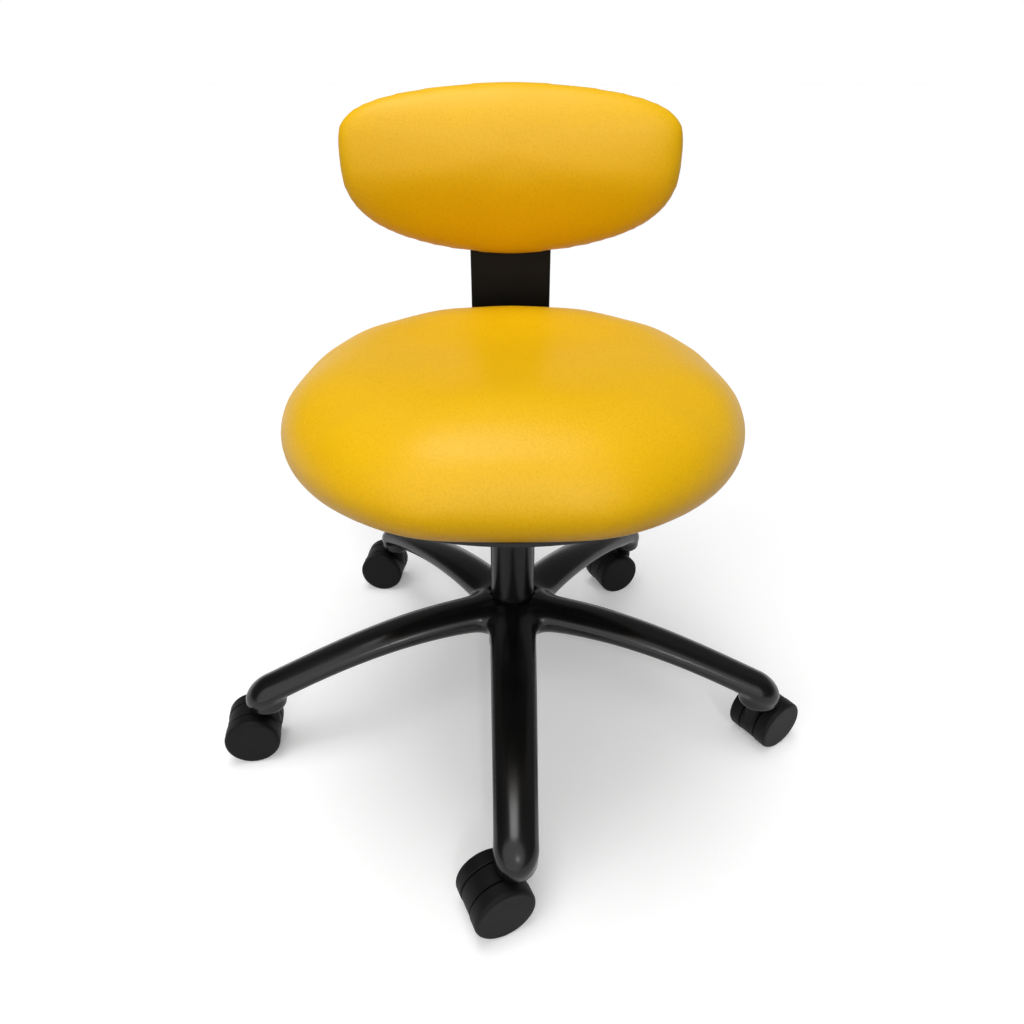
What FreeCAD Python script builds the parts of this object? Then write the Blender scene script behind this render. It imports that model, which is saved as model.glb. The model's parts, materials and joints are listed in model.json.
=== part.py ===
"""Clinical operator chair: five-arm caster base, gas lift, padded seat and height-adjustable backrest.

Millimetres. The floor is z = 0, the lift column stands on the Z axis and the sitter faces -Y.
"""
import FreeCAD
import Part
import Sketcher
import math
import os

Vector = FreeCAD.Vector
Rotation = FreeCAD.Rotation
Placement = FreeCAD.Placement

# Driving dimensions: alias, value, meaning
DIMENSIONS = (
    ("stem_circle", 290, "radius from the column to each caster stem"),
    ("arm_tip_radius", 21, "radius of the round boss that ends each arm"),
    ("boss_bottom", 61.5, "height of the underside of the arm bosses"),
    ("boss_top", 97.5, "height of the top of the arm bosses"),
    ("boss_round", 12.5, "rounding of the top of a boss"),
    ("boss_edge", 6, "rounding of the lower edge of a boss"),
    ("hub_top", 149, "height of the hub's top round the column"),
    ("hub_bottom", 74, "height of the hub's underside"),
    ("hub_radius", 36, "outer radius of the hub between the arms"),
    ("hub_foot_radius", 28.5, "outer radius of the hub's foot below the arms"),
    ("hub_foot_top", 106, "height where the hub's foot runs into the arms"),
    ("hub_edge", 7, "bevel of the hub's top edge"),
    ("arm_root_width", 54, "arm width at the hub"),
    ("arm_root_height", 40, "arm depth at the hub"),
    ("arm_root_top", 148, "height of the arm's top at the hub"),
    ("arm_waist_height", 26, "arm depth at its thinnest"),
    ("arm_tip_height", 29, "arm depth at the boss"),
    ("socket_depth", 30, "depth of the stem sockets in the bosses"),
    ("wheel_radius", 30, "caster wheel radius"),
    ("wheel_rim", 4, "rounding of the wheel's outer rim"),
    ("wheel_inner", 10.8, "distance from the caster's middle to a wheel's inner face"),
    ("wheel_outer", 26, "distance from the caster's middle to a wheel's outer face"),
    ("caster_trail", 21, "distance from the stem to the wheel axle"),
    ("hood_radius", 29.4, "radius of the hood between the wheels"),
    ("hood_width", 18.6, "width of the hood between the wheels"),
    ("hood_cut", 9, "height of the hood's lower edge"),
    ("neck_top", 60.8, "height of the hood's neck under the boss"),
    ("stem_radius", 5.5, "caster stem radius"),
    ("stem_groove", 12, "height of the stem's groove above the boss's underside"),
    ("stem_bottom", 36, "height of the stem's lower end"),
    ("axle_radius", 4, "caster axle radius"),
    ("axle_length", 44, "caster axle length"),
    ("running_gap", 0.06, "radial clearance of everything that turns"),
    ("tube_radius", 25, "outer radius of the lift's outer tube"),
    ("tube_foot_radius", 23.8, "outer radius at the foot of the tube's taper"),
    ("tube_top", 284, "height of the outer tube's top"),
    ("tube_wall", 2, "wall of the outer tube"),
    ("cylinder_radius", 14, "outer radius of the gas cylinder"),
    ("cylinder_bottom", 98, "height of the gas cylinder's lower end"),
    ("cylinder_top", 331, "height of the gas cylinder's top"),
    ("cylinder_wall", 2, "wall of the gas cylinder"),
    ("taper_start", 288, "height where the cylinder's taper starts"),
    ("taper_top_radius", 13.2, "cylinder radius at the top of its taper"),
    ("rod_radius", 5, "piston rod radius"),
    ("bush_length", 80, "length of the guide bush in the outer tube"),
    ("ball_radius", 2, "radius of the thrust bearing's balls"),
    ("ball_circle", 9, "radius from the rod's axis to the balls"),
    ("piston_length", 10, "piston length"),
    ("buffer_length", 11.2, "rubber buffer length"),
    ("clip_thickness", 2.2, "retaining clip thickness"),
    ("piston_height", 255, "height of the middle of the piston"),
    ("valve_radius", 3, "radius of the release pin"),
    ("valve_top", 336.5, "height of the release pin's top"),
    ("valve_length", 14.5, "release pin length"),
    ("socket_wall", 6, "wall of the taper socket"),
    ("housing_width", 92, "mechanism housing width"),
    ("housing_front", 70, "mechanism housing reach in front of the column"),
    ("housing_back", 66, "mechanism housing reach behind the column"),
    ("housing_bottom", 306, "height of the housing's underside"),
    ("housing_top", 349, "height of the housing's top"),
    ("sheet_wall", 3, "pressed steel thickness"),
    ("plate_thickness", 4, "seat plate thickness"),
    ("plate_width", 214, "seat plate width"),
    ("plate_depth", 184, "seat plate depth"),
    ("bolt_x", 86, "half the width between seat bolts"),
    ("bolt_y", 72, "half the depth between seat bolts"),
    ("bolt_radius", 3.2, "seat bolt shank radius"),
    ("bolt_shift", 5, "how far the seat plate and its bolts stand forward of the column"),
    ("bolt_head", 4.5, "height of the bolt heads"),
    ("hinge_y", 80, "back hinge axis behind the column"),
    ("hinge_z", 325, "back hinge axis height"),
    ("hinge_pin_radius", 6, "back hinge pin radius"),
    ("ear_radius", 14, "radius of the hinge ears"),
    ("knuckle_radius", 12, "radius of the hinge block's knuckle"),
    ("knuckle_plate", 8, "thickness of the hinge block's plate under the bar"),
    ("lever_pivot_x", 26, "height lever pivot beside the column"),
    ("lever_z", 339.5, "height of the lever's pivot"),
    ("lever_thickness", 5, "height lever strip thickness"),
    ("lever_width", 12, "height lever strip width"),
    ("lever_drop", 24, "how far the lever steps down outside the housing"),
    ("lever_reach", 195, "reach of both lever grips from the column"),
    ("lever_tail", 6, "reach of the height lever past the release pin"),
    ("lever_bend", 60, "distance from the column to the lever's downward bend"),
    ("grip_length", 75, "length of the lever grips"),
    ("grip_cover", 30, "length of lever inside its grip"),
    ("grip_width", 32, "width of the height lever's grip"),
    ("cheek_half", 8, "half the width of the lever bracket"),
    ("lock_y", 40, "recline lever axis behind the column"),
    ("lock_z", 330, "recline lever axis height"),
    ("lock_radius", 5, "recline lever rod radius"),
    ("cam_radius", 12, "recline cam radius"),
    ("cam_length", 28, "recline cam length"),
    ("cam_throw", 3, "how far the cam's middle stands above its axis"),
    ("shoe_height", 27, "recline lock shoe height"),
    ("pan_thickness", 4, "seat underside cover thickness"),
    ("board_thickness", 12, "seat board thickness"),
    ("seat_half_width", 221, "half the seat cushion's width"),
    ("seat_front", 236, "reach of the seat cushion in front of the column"),
    ("seat_back", 215, "reach of the seat cushion behind the column"),
    ("seat_front_round", 2.15, "roundness exponent of the seat's front, 2 for an ellipse"),
    ("seat_back_round", 2.45, "roundness exponent of the seat's back, 2 for an ellipse"),
    ("seat_widest", 30, "widest line of the seat in front of the column"),
    ("seat_height", 445, "height of the seat cushion's crown"),
    ("bar_width", 97, "back bar width"),
    ("bar_thickness", 8, "back bar thickness"),
    ("bar_front", 224, "front face of the upright bar behind the column"),
    ("bar_start", 97, "front end of the bar behind the column"),
    ("bar_bottom", 321, "height of the bar's underside"),
    ("bar_top", 632, "height of the bar's top"),
    ("bar_bend", 40, "inner radius of the bar's bend"),
    ("bar_bolt_x", 25, "half the distance between the bar's bolts"),
    ("bar_bolt_reach", 25, "distance of the bar's bolts from its front end"),
    ("bar_bolt_radius", 4, "radius of the bar's bolts"),
    ("back_half_width", 187.5, "half the backrest's width"),
    ("back_middle", 607, "height of the backrest's widest line"),
    ("back_rise", 63, "backrest above its widest line"),
    ("back_drop", 114.5, "backrest below its widest line"),
    ("back_crest", 584, "height of the lumbar crest"),
    ("back_depth", 54, "cushion thickness at the lumbar crest"),
    ("back_edge", 14, "cushion thickness at the backrest's side edges"),
    ("back_face", 210.5, "rear face of the backrest cushion behind the column"),
    ("back_wrap", 620, "radius of the backrest's wrap round the sitter"),
    ("shell_thickness", 5, "backrest shell thickness"),
    ("shell_gap", 0.5, "glue line between cushion and shell"),
    ("slider_bottom", 545, "height of the slider bracket's underside"),
    ("slider_height", 70, "slider bracket height"),
    ("slider_width", 120, "slider bracket width"),
    ("slider_wall", 7.6, "slider bracket wall before and behind the bar"),
    ("slider_gap", 0.4, "clearance of the bar in the slider bracket"),
    ("knob_radius", 22, "clamp knob radius"),
    ("knob_length", 22, "clamp knob length"),
    ("knob_stud_radius", 4, "clamp stud radius"),
    ("knob_flute", 7, "radius of the knob's finger flutes"),
    ("knob_gap", 5, "distance of the knob behind the bracket"),
    ("screw_x", 38, "half the width between the backrest screws"),
    ("screw_z", 18, "half the height between the backrest screws"),
    ("screw_radius", 2.5, "backrest screw radius"),
    ("pad_half", 52, "half the width of the shell's flat pad"),
    ("pad_rise", 30, "half the height of the shell's flat pad"),
)

ARM_COUNT = 5
FRONT_ARM_ANGLE = -90.0
# Swivel angle in degrees at which each caster is shown, counted from the arm that faces the sitter's front
CASTERS = (
    ("front", 0, 114.0),
    ("right", 1, -57.0),
    ("back_right", 2, 114.0),
    ("back_left", 3, 84.0),
    ("left", 4, 99.0),
)
# Share of the seat height, then how far side, front and back are drawn in at that level
SEAT_LEVELS = (
    (0.0, 24, 24, 22),
    (0.07, 11, 10, 10),
    (0.18, 3, 3, 3),
    (0.33, 0, 0, 0),
    (0.52, 3, 6, 3),
    (0.72, 12, 21, 10),
    (0.88, 32, 44, 26),
    (0.96, 62, 76, 54),
    (1.0, 105, 122, 95),
)
# How far the underside cover and the board stand in from the cushion's side, front and back
PAN_INSETS = (30, 20, 24)
BOARD_INSETS = (40, 40, 40)
# Share of the backrest's half width where its cross-sections stand
BACK_STATIONS = (-0.995, -0.95, -0.82, -0.5, 0.0, 0.5, 0.82, 0.95, 0.995)
# Roundness exponents of the backrest's outline: across, then up and down from its widest line
BACK_SIDE_ROUND, BACK_TOP_ROUND, BACK_LOW_ROUND = 1.7, 3.4, 3.0
KNOB_FLUTES = 6
BEARING_BALLS = 8
# A low degree keeps the cushions from swelling between their sections
LOFT_DEGREE = 3


class Size:
    """A length with its value and the sheet expression that it comes from."""

    def __init__(self, value, text):
        self.value = float(value)
        self.text = text

    def __add__(self, other):
        other = as_size(other)
        return Size(self.value + other.value, f"({self.text} + {other.text})")

    def __sub__(self, other):
        other = as_size(other)
        return Size(self.value - other.value, f"({self.text} - {other.text})")

    def __mul__(self, other):
        other = as_size(other)
        return Size(self.value * other.value, f"({self.text} * {other.text})")

    def __truediv__(self, other):
        other = as_size(other)
        return Size(self.value / other.value, f"({self.text} / {other.text})")

    def __neg__(self):
        return Size(-self.value, f"(0 - {self.text})")

    def __radd__(self, other):
        return as_size(other) + self

    def __rsub__(self, other):
        return as_size(other) - self

    __rmul__ = __mul__


def as_size(number):
    """Wraps a plain number so that it can join an expression."""
    return number if isinstance(number, Size) else Size(number, repr(number))


class Dims:
    """The driving dimensions as attributes, each tied to its cell."""


doc = FreeCAD.newDocument("operator_chair")
sheet = doc.addObject("Spreadsheet::Sheet", "dims")
dims = Dims()
for row, (alias, value, meaning) in enumerate(DIMENSIONS, start=1):
    sheet.set(f"A{row}", alias)
    sheet.set(f"B{row}", str(value))
    sheet.setAlias(f"B{row}", alias)
    sheet.set(f"C{row}", meaning)
    setattr(dims, alias, Size(value, f"dims.{alias}"))
doc.recompute()

nodes = []


def node(obj, label):
    """Names an object as one sub-part of the chair."""
    obj.Label = label
    nodes.append(obj)
    return obj


def tie(obj, prop, amount):
    """Binds a property to the sheet."""
    amount = as_size(amount)
    obj.setExpression(prop, amount.text)


def place(obj, x=0, y=0, z=0, rotation=None):
    """Puts an object at a tied position."""
    spots = [as_size(x), as_size(y), as_size(z)]
    obj.Placement = Placement(Vector(*[spot.value for spot in spots]), rotation or Rotation())
    for letter, spot in zip("xyz", spots):
        tie(obj, f"Placement.Base.{letter}", spot)


# A part cylinder stands along +Z; these turn it along +X and +Y
ALONG = {
    "x": Rotation(Vector(0, 1, 0), 90),
    "y": Rotation(Vector(1, 0, 0), -90),
    "z": Rotation(),
}


def cylinder(radius, length, x=0, y=0, z=0, axis="z"):
    """A round bar whose start is at x, y, z."""
    obj = doc.addObject("Part::Cylinder", "Cylinder")
    tie(obj, "Radius", radius)
    tie(obj, "Height", length)
    place(obj, x, y, z, ALONG[axis])
    return obj


def cone(start_radius, end_radius, length, x=0, y=0, z=0, axis="z"):
    """A tapered bar whose start is at x, y, z."""
    obj = doc.addObject("Part::Cone", "Cone")
    tie(obj, "Radius1", start_radius)
    tie(obj, "Radius2", end_radius)
    tie(obj, "Height", length)
    place(obj, x, y, z, ALONG[axis])
    return obj


def block(x, y, z):
    """A box between two coordinates on each axis."""
    obj = doc.addObject("Part::Box", "Box")
    spans = [(as_size(low), as_size(high)) for low, high in (x, y, z)]
    for prop, (low, high) in zip(("Length", "Width", "Height"), spans):
        tie(obj, prop, high - low)
    place(obj, *[low for low, high in spans])
    return obj


def fuse(*parts):
    """Joins solids into one."""
    obj = doc.addObject("Part::MultiFuse", "Fuse")
    obj.Shapes = list(parts)
    obj.Refine = True
    return obj


def cut(base, *tools):
    """Takes solids out of another."""
    obj = doc.addObject("Part::Cut", "Cut")
    obj.Base = base
    obj.Tool = tools[0] if len(tools) == 1 else fuse(*tools)
    return obj


def group(*parts):
    """Keeps several separate solids in one sub-part."""
    obj = doc.addObject("Part::Compound", "Group")
    obj.Links = list(parts)
    return obj


def round_edges(base, radius, wanted):
    """Rounds the edges of a solid that a test picks out."""
    doc.recompute()
    picked = [index for index, edge in enumerate(base.Shape.Edges, start=1) if wanted(edge)]
    obj = doc.addObject("Part::Fillet", "Rounded")
    obj.Base = base
    obj.Edges = [(index, radius.value, radius.value) for index in picked]
    return obj


def ring(outer, inner, z, height):
    """A plain washer on the Z axis."""
    return cut(cylinder(outer, height, z=z), cylinder(inner, height, z=z))


PLANE_ROLES = {"xy": "XY_Plane", "xz": "XZ_Plane", "yz": "YZ_Plane"}


def sketch_outline(body, plane, corners):
    """A closed outline on one of the body's planes, with each corner tied to the sheet."""
    sketch = body.newObject("Sketcher::SketchObject", "Outline")
    support = [item for item in body.Origin.OriginFeatures if item.Role == PLANE_ROLES[plane]][0]
    sketch.AttachmentSupport = [(support, "")]
    sketch.MapMode = "FlatFace"
    corners = [(as_size(across), as_size(up)) for across, up in corners]
    points = [Vector(across.value, up.value, 0) for across, up in corners]
    count = len(points)
    for index in range(count):
        sketch.addGeometry(Part.LineSegment(points[index], points[(index + 1) % count]), False)
    for index in range(count):
        sketch.addConstraint(Sketcher.Constraint("Coincident", index, 2, (index + 1) % count, 1))
    for index, (across, up) in enumerate(corners):
        tie_corner(sketch, index, "DistanceX", across, -2)
        tie_corner(sketch, index, "DistanceY", up, -1)
    return sketch


def tie_corner(sketch, index, kind, amount, axis):
    """Fixes one coordinate of an outline's corner, on the axis itself where it is nought."""
    if abs(amount.value) < 1e-9:
        sketch.addConstraint(Sketcher.Constraint("PointOnObject", index, 1, axis))
        return
    if amount.value > 0:
        number = sketch.addConstraint(Sketcher.Constraint(kind, -1, 1, index, 1, amount.value))
        sketch.setExpression(f"Constraints[{number}]", amount.text)
        return
    flipped = -amount
    number = sketch.addConstraint(Sketcher.Constraint(kind, index, 1, -1, 1, flipped.value))
    sketch.setExpression(f"Constraints[{number}]", flipped.text)


def turned(corners, axis="V_Axis"):
    """A body of revolution: corners are radius and height, or length and radius about the sketch's H axis."""
    body = doc.addObject("PartDesign::Body", "Turned")
    sketch = sketch_outline(body, "xz", corners)
    spin = body.newObject("PartDesign::Revolution", "Spin")
    spin.Profile = sketch
    spin.ReferenceAxis = (sketch, [axis])
    spin.Angle = 360.0
    body.Tip = spin
    return body


def profiled(plane, corners, width):
    """A body with one outline drawn out evenly to both sides of its plane."""
    body = doc.addObject("PartDesign::Body", "Profiled")
    sketch = sketch_outline(body, plane, corners)
    pad = body.newObject("PartDesign::Pad", "Pad")
    pad.Profile = sketch
    pad.Midplane = True
    tie(pad, "Length", width)
    body.Tip = pad
    return body


def soften(body, radius, wanted):
    """Adds a rounding to a body on the edges that a test picks out."""
    doc.recompute()
    last = body.Tip
    names = [f"Edge{index}" for index, edge in enumerate(last.Shape.Edges, start=1) if wanted(edge)]
    fillet = body.newObject("PartDesign::Fillet", "Softened")
    fillet.Base = (last, names)
    tie(fillet, "Radius", radius)
    body.Tip = fillet
    return body


def middle(edge):
    """The point half-way along an edge."""
    return edge.valueAt((edge.FirstParameter + edge.LastParameter) / 2)


def near(value, target, slack=0.05):
    """True where two numbers are about the same."""
    return abs(value - target) < slack


def is_ring(edge, radius, across=None):
    """True for a full circle of a radius, and of a place along its own axis where that is given."""
    if not hasattr(edge.Curve, "Radius") or not near(edge.Curve.Radius, radius):
        return False
    return across is None or near(edge.Curve.Center.x, across) or near(edge.Curve.Center.z, across)


def arm_angle(index):
    """Direction of an arm in degrees, anticlockwise from +X seen from above."""
    return FRONT_ARM_ANGLE + index * 360.0 / ARM_COUNT


def on_arm(index, reach):
    """Tied X and Y of a point on an arm's middle line."""
    turn = math.radians(arm_angle(index))
    return reach * round(math.cos(turn), 9), reach * round(math.sin(turn), 9)


def arm_sections():
    """Reach, width, depth and top height of the cross-sections of an arm."""
    tip = dims.stem_circle
    return (
        (tip * 0.04, dims.arm_root_width, dims.arm_root_height, dims.arm_root_top),
        (tip * 0.2, dims.arm_root_width - 2, dims.arm_root_height - 5.5, dims.arm_root_top - 1),
        (tip * 0.45, dims.arm_root_width - 5.5, dims.arm_waist_height + 2.5, dims.arm_root_top - 8),
        (tip * 0.7, dims.arm_root_width - 9.5, dims.arm_waist_height, dims.boss_top + 26),
        (tip * 0.87, dims.arm_tip_radius * 2 + 0.4, dims.arm_tip_height - 2.5, dims.boss_top + 12),
        (tip, dims.arm_tip_radius * 2 - 1, dims.arm_tip_height, dims.boss_top),
    )


def make_arm(index):
    """One cast arm: an oval beam that swoops down from the hub."""
    facing = Rotation(Vector(0, 0, 1), arm_angle(index) + 90) * Rotation(Vector(1, 0, 0), 90)
    rings = []
    for reach, width, depth, top in arm_sections():
        oval = doc.addObject("Part::Ellipse", "ArmSection")
        tie(oval, "MajorRadius", width / 2)
        tie(oval, "MinorRadius", depth / 2)
        x, y = on_arm(index, reach)
        place(oval, x, y, top - depth / 2, facing)
        rings.append(oval)
    arm = doc.addObject("Part::Loft", "Arm")
    arm.Sections = rings
    arm.Solid = True
    return arm


def make_boss(index):
    """The round end of an arm, domed above and softened below."""
    x, y = on_arm(index, dims.stem_circle)
    bar = cylinder(dims.arm_tip_radius, dims.boss_top - dims.boss_bottom, x, y, dims.boss_bottom)
    radius = dims.arm_tip_radius.value
    domed = round_edges(bar, dims.boss_round, lambda edge: is_ring(edge, radius, dims.boss_top.value))
    return round_edges(domed, dims.boss_edge, lambda edge: is_ring(edge, radius, dims.boss_bottom.value))


def make_base():
    """The cast five-arm base with its tapered column bore and stem sockets."""
    hub = turned((
        (0, dims.hub_bottom),
        (dims.hub_foot_radius, dims.hub_bottom),
        (dims.hub_foot_radius, dims.hub_foot_top),
        (dims.hub_radius, dims.hub_foot_top + 8),
        (dims.hub_radius, dims.hub_top - dims.hub_edge),
        (dims.hub_radius - dims.hub_edge, dims.hub_top),
        (0, dims.hub_top),
    ))
    arms = [make_arm(index) for index in range(ARM_COUNT)]
    bosses = [make_boss(index) for index in range(ARM_COUNT)]
    star = fuse(hub, *arms, *bosses)
    bore = cone(dims.tube_foot_radius, dims.tube_radius, dims.hub_top - dims.hub_bottom, z=dims.hub_bottom)
    sockets = []
    for index in range(ARM_COUNT):
        x, y = on_arm(index, dims.stem_circle)
        sockets.append(cylinder(dims.stem_radius, dims.socket_depth, x, y, dims.boss_bottom))
    return cut(star, bore, *sockets)


def caster_place(obj, index, swivel, along=0, up=0, flip=0):
    """Puts an object on a caster, along its trail from the stem and up from the floor."""
    stem_x, stem_y = on_arm(index, dims.stem_circle)
    turn = math.radians(swivel)
    x = stem_x - as_size(along) * round(math.sin(turn), 9)
    y = stem_y + as_size(along) * round(math.cos(turn), 9)
    place(obj, x, y, up, Rotation(Vector(0, 0, 1), swivel + flip))


def make_stem(index):
    """A caster stem with a groove for its grip ring."""
    socket_top = dims.boss_bottom + dims.socket_depth
    groove = dims.boss_bottom + dims.stem_groove
    stem = turned((
        (0, dims.stem_bottom),
        (dims.stem_radius, dims.stem_bottom),
        (dims.stem_radius, groove),
        (dims.stem_radius - 0.8, groove),
        (dims.stem_radius - 0.8, groove + 3),
        (dims.stem_radius, groove + 3),
        (dims.stem_radius, socket_top - 2),
        (0, socket_top - 2),
    ))
    x, y = on_arm(index, dims.stem_circle)
    place(stem, x, y)
    return stem


def make_grip_ring(index):
    """The split ring that holds a stem in its socket."""
    x, y = on_arm(index, dims.stem_circle)
    low = dims.boss_bottom + dims.stem_groove + 0.2
    thick = as_size(2.6)
    outer = cylinder(dims.stem_radius, thick, x, y, low)
    inner = cylinder(dims.stem_radius - 0.7, thick, x, y, low)
    slot = block((x, x + dims.stem_radius + 1), (y - 1.5, y + 1.5), (low, low + thick))
    return cut(outer, inner, slot)


def make_hood(index, swivel):
    """The moulded hood between a caster's wheels, with the neck that turns on the stem."""
    half = dims.hood_width / 2
    trail = dims.caster_trail
    disc = cylinder(dims.hood_radius, dims.hood_width, -half, trail, dims.wheel_radius, "x")
    reach = (trail - dims.wheel_radius, trail + dims.wheel_radius)
    below = block((-half - 1, half + 1), reach, (0, dims.hood_cut))
    neck = cylinder(half, dims.neck_top - dims.wheel_radius - 2, z=dims.wheel_radius + 2)
    body = fuse(cut(disc, below), neck)
    stem_bore = cylinder(dims.stem_radius + dims.running_gap, dims.neck_top, z=dims.stem_bottom - 0.5)
    axle_bore = cylinder(dims.axle_radius, dims.hood_width, -half, trail, dims.wheel_radius, "x")
    hood = cut(body, stem_bore, axle_bore)
    caster_place(hood, index, swivel)
    return hood


def make_axle(index, swivel):
    """The steel axle pressed through a hood."""
    axle = turned((
        (-dims.axle_length / 2, 0),
        (-dims.axle_length / 2, dims.axle_radius),
        (dims.axle_length / 2, dims.axle_radius),
        (dims.axle_length / 2, 0),
    ), "H_Axis")
    caster_place(axle, index, swivel, dims.caster_trail, dims.wheel_radius)
    return axle


def make_wheel(index, swivel, flip):
    """A closed-faced wheel, hollow towards the hood, with a blind bore for the axle."""
    bore = dims.axle_radius + dims.running_gap
    bore_end = dims.axle_length / 2 + 0.5
    web = dims.wheel_outer - 4.5
    wheel = turned((
        (dims.wheel_inner, bore),
        (dims.wheel_inner, bore + 5),
        (web, bore + 5),
        (web, dims.wheel_radius - 5.5),
        (dims.wheel_inner, dims.wheel_radius - 5.5),
        (dims.wheel_inner, dims.wheel_radius),
        (dims.wheel_outer, dims.wheel_radius),
        (dims.wheel_outer, 0),
        (bore_end, 0),
        (bore_end, bore),
    ), "H_Axis")
    radius = dims.wheel_radius.value
    soften(wheel, dims.wheel_rim, lambda edge: is_ring(edge, radius, dims.wheel_outer.value))
    soften(wheel, dims.wheel_rim / 4, lambda edge: is_ring(edge, radius, dims.wheel_inner.value))
    caster_place(wheel, index, swivel, dims.caster_trail, dims.wheel_radius, flip)
    return wheel


def make_casters():
    """Five twin-wheel casters, each shown at its own swivel angle."""
    node(group(*[make_stem(index) for index in range(ARM_COUNT)]), "caster_stems")
    node(group(*[make_grip_ring(index) for index in range(ARM_COUNT)]), "stem_grip_rings")
    for name, index, swivel in CASTERS:
        node(make_hood(index, swivel), f"caster_hood_{name}")
        node(make_axle(index, swivel), f"caster_axle_{name}")
        node(make_wheel(index, swivel, 0), f"caster_wheel_a_{name}")
        node(make_wheel(index, swivel, 180), f"caster_wheel_b_{name}")


def make_column():
    """The gas lift: outer tube, bush, piston rod and its bearing, and the sliding cylinder."""
    inner = dims.tube_radius - dims.tube_wall
    foot_inner = dims.tube_foot_radius - dims.tube_wall
    floor = dims.hub_bottom + dims.plate_thickness
    node(turned((
        (dims.rod_radius + 2, dims.hub_bottom),
        (dims.tube_foot_radius, dims.hub_bottom),
        (dims.tube_radius, dims.hub_top),
        (dims.tube_radius, dims.tube_top),
        (inner, dims.tube_top),
        (inner, dims.hub_top + 10),
        (foot_inner, dims.hub_top),
        (foot_inner, floor),
        (dims.rod_radius + 2, floor),
    )), "column_outer_tube")
    bush_bore = dims.cylinder_radius + dims.running_gap
    node(turned((
        (bush_bore, dims.tube_top - dims.bush_length),
        (inner, dims.tube_top - dims.bush_length),
        (inner, dims.tube_top),
        (dims.tube_radius, dims.tube_top),
        (dims.tube_radius, dims.tube_top + 2.5),
        (bush_bore, dims.tube_top + 2.5),
    )), "column_guide_bush")
    loose = dims.rod_radius + 0.4
    race = dims.rod_radius + 8
    balls = []
    washer = as_size(2)
    upper = floor + washer + dims.ball_radius * 2
    for number in range(BEARING_BALLS):
        turn = 2 * math.pi * number / BEARING_BALLS
        ball = doc.addObject("Part::Sphere", "Ball")
        tie(ball, "Radius", dims.ball_radius)
        circle = dims.ball_circle
        place(ball, circle * round(math.cos(turn), 9), circle * round(math.sin(turn), 9),
              floor + washer + dims.ball_radius)
        balls.append(ball)
    races = [ring(race, loose, floor, washer), ring(race, loose, upper, washer)]
    node(group(*races, *balls), "rod_thrust_bearing")
    groove = dims.rod_radius - 1.2
    node(turned((
        (0, dims.hub_bottom - 8),
        (dims.rod_radius, dims.hub_bottom - 8),
        (dims.rod_radius, dims.hub_bottom - 4),
        (groove, dims.hub_bottom - 4),
        (groove, dims.hub_bottom - 1.6),
        (dims.rod_radius, dims.hub_bottom - 1.6),
        (dims.rod_radius, dims.piston_height + 7),
        (0, dims.piston_height + 7),
    )), "piston_rod")
    clip_low = dims.hub_bottom - 3.9
    thick = dims.clip_thickness
    slot = block((0, dims.rod_radius * 2), (-groove, groove), (clip_low, clip_low + thick))
    clip = cut(cylinder(dims.rod_radius + 3, thick, z=clip_low), cylinder(groove, thick, z=clip_low), slot)
    node(clip, "rod_clip")
    bore = dims.cylinder_radius - dims.cylinder_wall
    piston_low = dims.piston_height - dims.piston_length / 2
    node(ring(bore - dims.running_gap, dims.rod_radius, piston_low, dims.piston_length), "piston")
    buffer_low = upper + washer + 0.3
    node(ring(dims.rod_radius + 6, dims.rod_radius, buffer_low, dims.buffer_length), "rubber_buffer")
    valve_bore = dims.valve_radius + dims.running_gap
    node(turned((
        (bore, dims.cylinder_bottom),
        (dims.cylinder_radius, dims.cylinder_bottom),
        (dims.cylinder_radius, dims.taper_start),
        (dims.taper_top_radius, dims.cylinder_top),
        (valve_bore, dims.cylinder_top),
        (valve_bore, dims.cylinder_top - 15),
        (0, dims.cylinder_top - 15),
        (0, dims.piston_height + 13),
        (bore, dims.piston_height + 13),
    )), "gas_cylinder")
    node(ring(bore, dims.rod_radius + dims.running_gap, dims.cylinder_bottom, 12), "rod_guide")
    node(cylinder(dims.valve_radius, dims.valve_length, z=dims.valve_top - dims.valve_length), "release_pin")


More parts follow.
